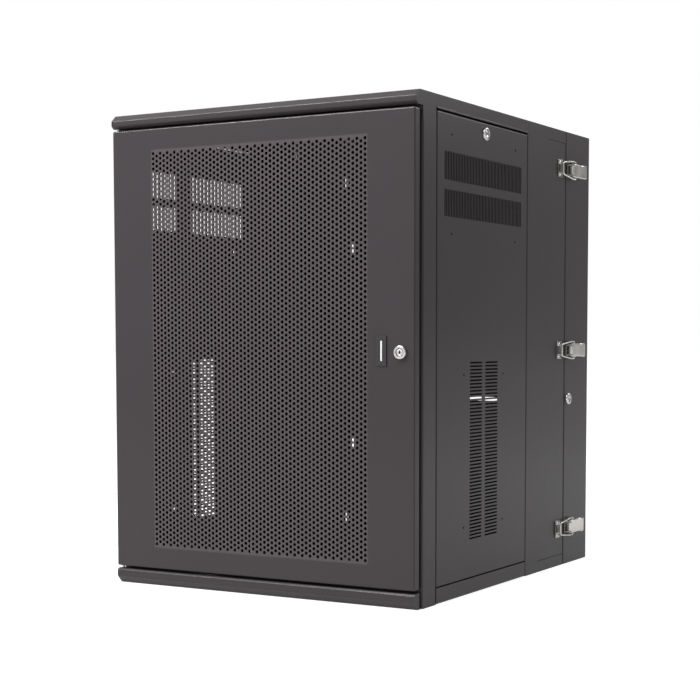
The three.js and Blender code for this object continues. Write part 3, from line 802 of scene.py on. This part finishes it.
# Each lock's name, axis and side, the body it is mounted on, and the body that turns in it.
LOCKS = (("door_lock", "y", -1, "front_door", "door_lock"),
         ("side_panel_right_lock", "x", 1, "side_panel_right", "side_lock_right"),
         ("side_panel_left_lock", "x", -1, "side_panel_left", "side_lock_left"),
         ("rear_lock", "x", 1, "wall_frame", "rear_lock"))
for lock, axis, side, mounted_on, _ in LOCKS:
    lock_face(f"{lock}_housing", axis, side, mounted_on)
for lock, axis, side, _, turning in LOCKS:
    lock_plug(f"{lock}_plug", axis, side, turning)


# ---- badge ---------------------------------------------------------------------------------------
def badge():
    """Plain dark plate with a plain light bar."""
    low, high = corners("door_badge")
    plate = prism("y", [rounded(low.z, low.x, high.z, high.x, 1.5)], low.y, high.y)
    piece("badge_plate", eased(plate, 0.4), BADGE, "front_door", "badge", "door_badge")
    middle = (low.x + high.x) / 2
    bar = prism("y", [rounded(low.z + 8, middle - 1.5, high.z - 8, middle + 1.5, 1.0)],
                low.y - 0.3, low.y + 0.5)
    piece("badge_bar", bar, BAR, "front_door", "badge")


badge()


# ---- swing hinges --------------------------------------------------------------------------------
HINGE = {"barrel": 7.35, "bore": 4.3, "axis": 7.65, "leaf": 3.0, "corner": 5.0, "screw_rise": 10.0}
SCREW_HEAD = [(0.01, -3.2), (4.4, -3.2), (4.4, -3.7), (3.6, -4.6), (1.8, -5.1), (0.01, -5.1)]


def hinge_half(node, body, above):
    low, high = corners(node)
    z0, z1 = low.z, high.z
    bore = HINGE["bore"]
    axis_x = -HALF - HINGE["axis"]
    radius = HINGE["barrel"]
    profile = fillet([(bore, z0), (radius, z0), (radius, z1), (bore, z1)], [0, 0.9, 0.9, 0], 3)
    barrel = turned(profile, "z", (axis_x, SEAM_Y, 0), 40)
    y0, y1 = sorted((SEAM_Y, low.y if above else high.y))
    outer = -HALF - GAP
    corner = [HINGE["corner"]] * 2
    radii = corner + [0, 0] if above else [0, 0] + corner
    outline = fillet([(y0, z0), (y0, z1), (y1, z1), (y1, z0)], radii)
    leaf = prism("x", [outline], outer - HINGE["leaf"], outer)
    hole = prism("z", [circle(axis_x, SEAM_Y, bore, 32)], z0 - 1, z1 + 1)
    mesh = cut(union(eased(leaf, 0.5), barrel), hole)
    piece(node.replace("_half", "_leaf"), mesh, COAT, body, "coat", node)
    middle = (y0 + y1) / 2 + (-4 if above else 4)
    for row, level in ((-1, "low"), (1, "high")):
        z = (z0 + z1) / 2 + row * HINGE["screw_rise"]
        screw = turned(SCREW_HEAD, "x", (-HALF, middle, z), 28)
        slot = block((-HALF - 6, middle - 0.5, z - 3), (-HALF - 4.5, middle + 0.5, z + 3))
        # The screws take the darker, painted-shade copy of the plating.
        piece(f"{node}_screw_{level}", cut(screw, slot), ZINC_SHADED_COPY, body, "zinc")


for level in ("lower", "upper"):
    hinge_half(f"swing_hinge_{level}_wall_half", "wall_frame", False)
    hinge_half(f"swing_hinge_{level}_cabinet_half", "cabinet", True)


# ---- draw latches --------------------------------------------------------------------------------
# Drawn about x = HALF, y = the seam, z = 0 and then moved to each latch's height.
LATCH = {"pivot": (7.0, 17.5), "half": 13.3, "bar": (8.0, -30.6), "bail": (6.0, 37.5), "wire": 1.6}
LATCH_PLATE = 1.5
# The lever's cover along y: (y, height of its top, depth of its cheeks).
COVER = [(24.2, 6.4, 2.6), (25.0, 8.2, 4.0), (26.6, 9.4, 5.0), (29.0, 9.8, 5.5), (40.0, 9.8, 5.4),
         (52.0, 9.8, 3.9), (60.0, 9.8, 2.4), (63.0, 10.0, 1.9), (66.5, 11.2, 1.8), (70.5, 13.0, 1.8),
         (74.2, 14.9, 1.8)]
RIVET_HEAD = [(0.01, 1.9), (4.0, 1.9), (3.6, 3.1), (2.3, 4.0), (0.01, 4.3)]


def latch_keeper():
    plate = prism("x", [rounded(-42, -17.5, -19, 17.5, 2.5)], GAP, GAP + LATCH_PLATE)
    wire = LATCH["wire"]
    bar_s, bar_y = LATCH["bar"]
    top = bar_s - wire - 0.6
    lip = bent([(GAP + 0.6, bar_y + 4.1), (top, bar_y + 4.1), (top, bar_y + wire + 0.5)], 1.2, 0.5)
    hook = prism("z", [lip], -8, 8)
    return together(eased(plate, 0.4), hook)


def latch_base():
    plate = eased(prism("x", [rounded(3, -10, 58, 10, 1.5)], GAP, GAP + LATCH_PLATE), 0.4)
    s, y = LATCH["pivot"]
    ears = []
    for side in (-1, 1):
        tip = [(s + 5 * math.sin(math.pi * i / 10), y - 5 * math.cos(math.pi * i / 10))
               for i in range(11)]
        outline = [(GAP + 0.6, y - 7), *tip, (GAP + 0.6, y + 7)]
        ear = prism("z", [outline], *sorted((side * 9, side * 11)))
        rivet = turned([(0.01, 10), (2.6, 10), (2.6, 12.2), (1.9, 12.7), (0.01, 12.8)], "z",
                       (s, y, 0), 24)
        if side < 0:
            rivet.transform(Matrix.Scale(-1, 4, (0, 0, 1)))
            rivet = weld(rivet)
        ears += [eased(ear, 0.35), rivet]
    return together(plate, *ears)


def latch_lever():
    """Nose roller, neck, and a cover with turned-down cheeks that flares into a finger tab."""
    s, y = LATCH["pivot"]
    half = LATCH["half"]
    roller = [(0.01, -8.4), (3.7, -8.4), (4.4, -7.7), (4.4, 7.7), (3.7, 8.4), (0.01, 8.4)]
    nose = turned(roller, "z", (s, y, 0), 32)
    neck = prism("z", [bent([(s + 1.2, y), (s + 1.2, 41)], 1.6)], -8.0, 8.0)
    bm = bmesh.new()
    rows = []
    fold = 1.8
    for along, top, cheek in COVER:
        section = [(-half, -cheek)]
        for k in range(5):
            t = math.pi / 2 * k / 4
            section.append((-half + fold - fold * math.cos(t), -fold + fold * math.sin(t)))
        section += [(-z, drop) for z, drop in section[::-1]]
        rows.append([bm.verts.new((top + drop, along, z)) for z, drop in section])
    for one, two in zip(rows, rows[1:]):
        for i in range(len(one) - 1):
            bm.faces.new((one[i], one[i + 1], two[i + 1], two[i]))
    bmesh.ops.recalc_face_normals(bm, faces=bm.faces)
    if sum(f.normal.x for f in bm.faces) < 0:
        bmesh.ops.reverse_faces(bm, faces=bm.faces)
    cover = bpy.data.meshes.new("cover")
    bm.to_mesh(cover)
    bm.free()
    holder = bpy.data.objects.new("cover", cover)
    wall = holder.modifiers.new("wall", "SOLIDIFY")
    wall.thickness = 1.3
    wall.offset = -1
    return together(nose, neck, weld(evaluated(holder)))


def latch_bail():
    """Bent wire that widens past the lever and turns in at its cheeks."""
    bar_s, bar_y = LATCH["bar"]
    end_s, end_y = LATCH["bail"]
    inward = LATCH["half"] + 0.4

    def arm(k):
        return [(bar_s, bar_y, k * 8), (bar_s, bar_y + 1.5, k * 10.8), (bar_s, bar_y + 6, k * 12.4),
                (bar_s - 0.4, 6, k * 15.6), (bar_s - 0.8, 18, k * 17), (end_s + 0.6, 32, k * 17),
                (end_s, end_y - 0.6, k * 16.4), (end_s, end_y, k * 15), (end_s, end_y, k * inward)]

    route = [Vector(p) for p in arm(-1)[::-1] + arm(1)]
    curve = bpy.data.curves.new("wire", "CURVE")
    curve.dimensions = "3D"
    curve.bevel_depth = LATCH["wire"]
    curve.bevel_resolution = 4
    curve.use_fill_caps = True
    spline = curve.splines.new("POLY")
    smooth = []
    for i in range(len(route) - 1):
        a, b, c, d = (route[max(i - 1, 0)], route[i], route[i + 1], route[min(i + 2, len(route) - 1)])
        for k in range(6):
            t = k / 6
            smooth.append(0.5 * (2 * b + (c - a) * t + (2 * a - 5 * b + 4 * c - d) * t * t
                                 + (3 * b - a - 3 * c + d) * t ** 3))
    smooth.append(route[-1])
    spline.points.add(len(smooth) - 1)
    for point, co in zip(spline.points, smooth):
        point.co = (*co, 1)
    return weld(evaluated(bpy.data.objects.new("wire", curve)))


for level in ("lower", "middle", "upper"):
    low, high = corners(f"latch_{level}_keeper")
    at = Matrix.Translation((HALF, SEAM_Y, (low.z + high.z) / 2))
    for part, shape, body, look in (("keeper", latch_keeper, "cabinet", "keeper_plate"),
                                    ("base", latch_base, "wall_frame", "base_plate"),
                                    ("lever", latch_lever, f"latch_lever_{level}", "lever_cover"),
                                    ("bail", latch_bail, f"latch_bail_{level}", "wire_bail")):
        mesh = shape()
        mesh.transform(at)
        # Lever and bail take the lighter, painted-highlight copy of the plating; keeper and base take
        # the darker, painted-shade copy.
        finish = ZINC_LIT_COPY if part in ("lever", "bail") else ZINC_SHADED_COPY
        piece(f"latch_{level}_{look}", mesh, finish, body, "zinc", f"latch_{level}_{part}")
    # The rivet heads take the lighter, painted-highlight copy of the plating.
    rivets = together(*[turned(RIVET_HEAD, "x", (0, -34.5, z), 28) for z in (-11.6, 11.6)])
    rivets.transform(at)
    piece(f"latch_{level}_keeper_rivets", rivets, ZINC_LIT_COPY, "cabinet", "zinc")


# ---- pieces that keep their CAD shape, with eased edges ------------------------------------------
# Zinc-slot parts take the darker, painted-shade copy of the plating.
KEPT = {"coat": COAT, "rail_coat": RAIL_COAT, "zinc": ZINC_SHADED_COPY, "lock_chrome": CHROME, "badge": BADGE}
slots = {row["node"]: row["material_slot"] for row in frame["record"]["subparts"]}
for body, nodes in frame["record"]["behaviour"]["bodies"].items():
    for node in nodes:
        slot = slots[node]
        if node == "wall_back_plate":
            frame["nodes"][node].material_slots[0].material = KEPT[slot]
        elif node not in stood_for:
            piece(f"{node}_eased", eased(from_cad(node), 0.35), KEPT[slot], body, slot, node)


# ---- camera and studio ---------------------------------------------------------------------------
# Angles in degrees, lens in millimetres, place in metres.
CAMERA = {"angles": (30.19, 4.033, -0.064), "lens": 80.33, "shift": (-0.0057, 0.1418),
          "place": (1.5319, -2.6679, 0.4553)}


def camera():
    azimuth, pitch, roll = map(math.radians, CAMERA["angles"])
    back = Vector((math.sin(azimuth) * math.cos(pitch), -math.cos(azimuth) * math.cos(pitch),
                   math.sin(pitch)))
    data = bpy.data.cameras.new("camera")
    data.sensor_width = 36
    data.lens = CAMERA["lens"]
    data.shift_x, data.shift_y = CAMERA["shift"]
    made = bpy.data.objects.new("camera", data)
    made.rotation_mode = "QUATERNION"
    turn = Matrix.Rotation(roll, 3, back)
    made.rotation_quaternion = (turn @ (-back).to_track_quat("-Z", "Y").to_matrix()).to_quaternion()
    made.location = CAMERA["place"]
    bpy.context.scene.collection.objects.link(made)
    bpy.context.scene.camera = made


def lamp(name, place, target, size, power):
    data = bpy.data.lights.new(name, "AREA")
    data.shape = "RECTANGLE"
    data.size, data.size_y = size
    data.energy = power
    made = bpy.data.objects.new(name, data)
    made.location = place
    made.rotation_mode = "QUATERNION"
    made.rotation_quaternion = (Vector(target) - Vector(place)).to_track_quat("-Z", "Y")
    bpy.context.scene.collection.objects.link(made)


ROOM_LIGHT = (0.88, 0.29)  # strength on the left front, and on the right rear
FLOOR_GLOW = (0.38, 0.8)  # on the object, and to the camera
FLOOR_REACH = 40
# Each lamp's name, place, target, size and power.
LAMPS = (("overhead", (-0.5, -1.4, 3.2), (0, -0.2, 0.7), (2.6, 0.9), 80),
         ("fold_light", (-1.9, -2.7, 2.8), (0, -0.3, 0.7), (2.4, 0.14), 130),
         ("right_rear", (2.2, 3.0, 2.3), (0.3, 0, 0.85), (1.6, 1.2), 40))


def studio():
    """Plain white to the camera, with a light that fades from the left front to the right rear."""
    scene = bpy.context.scene
    scene.view_settings.view_transform = "Standard"
    world = bpy.data.worlds.new("studio")
    world.use_nodes = True
    tree = world.node_tree
    room = tree.nodes["Background"]
    room.inputs["Color"].default_value = (1, 1, 1, 1)
    toward = tree.nodes.new("ShaderNodeVectorMath")
    toward.operation = "DOT_PRODUCT"
    toward.inputs[1].default_value = (0.8, 0.6, 0)
    tree.links.new(tree.nodes.new("ShaderNodeTexCoord").outputs["Generated"], toward.inputs[0])
    fade = tree.nodes.new("ShaderNodeMapRange")
    for key, value in zip(("From Min", "From Max", "To Min", "To Max"), (-1, 1, *ROOM_LIGHT)):
        fade.inputs[key].default_value = value
    tree.links.new(toward.outputs["Value"], fade.inputs["Value"])
    tree.links.new(fade.outputs["Result"], room.inputs["Strength"])
    backdrop = tree.nodes.new("ShaderNodeBackground")
    backdrop.inputs["Color"].default_value = (1, 1, 1, 1)
    choose = tree.nodes.new("ShaderNodeMixShader")
    tree.links.new(tree.nodes.new("ShaderNodeLightPath").outputs["Is Camera Ray"], choose.inputs[0])
    tree.links.new(room.outputs[0], choose.inputs[1])
    tree.links.new(backdrop.outputs[0], choose.inputs[2])
    tree.links.new(choose.outputs[0], tree.nodes["World Output"].inputs["Surface"])
    scene.world = world
    mesh = bpy.data.meshes.new("floor")
    corner_signs = ((-1, -1), (1, -1), (1, 1), (-1, 1))
    mesh.from_pydata([(FLOOR_REACH * x, FLOOR_REACH * y, 0) for x, y in corner_signs], [],
                     [(0, 1, 2, 3)])
    look = Look("pale_floor", (0.45, 0.45, 0.45), 0.9, specular=0.1)
    look.mottle((look.noise(3, 2), 0.99, 1.01))
    look.shader.inputs["Emission Color"].default_value = (1, 1, 1, 1)
    seen = look.node("ShaderNodeLightPath").outputs["Is Camera Ray"]
    look.link(look.ranged(seen, *FLOOR_GLOW, 0, 1), look.shader.inputs["Emission Strength"])
    mesh.materials.append(look.material)
    floor = bpy.data.objects.new("floor", mesh)
    floor.location.z = -0.0005
    scene.collection.objects.link(floor)
    floor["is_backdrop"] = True
    for values in LAMPS:
        lamp(*values)


camera()
studio()

low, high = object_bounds()
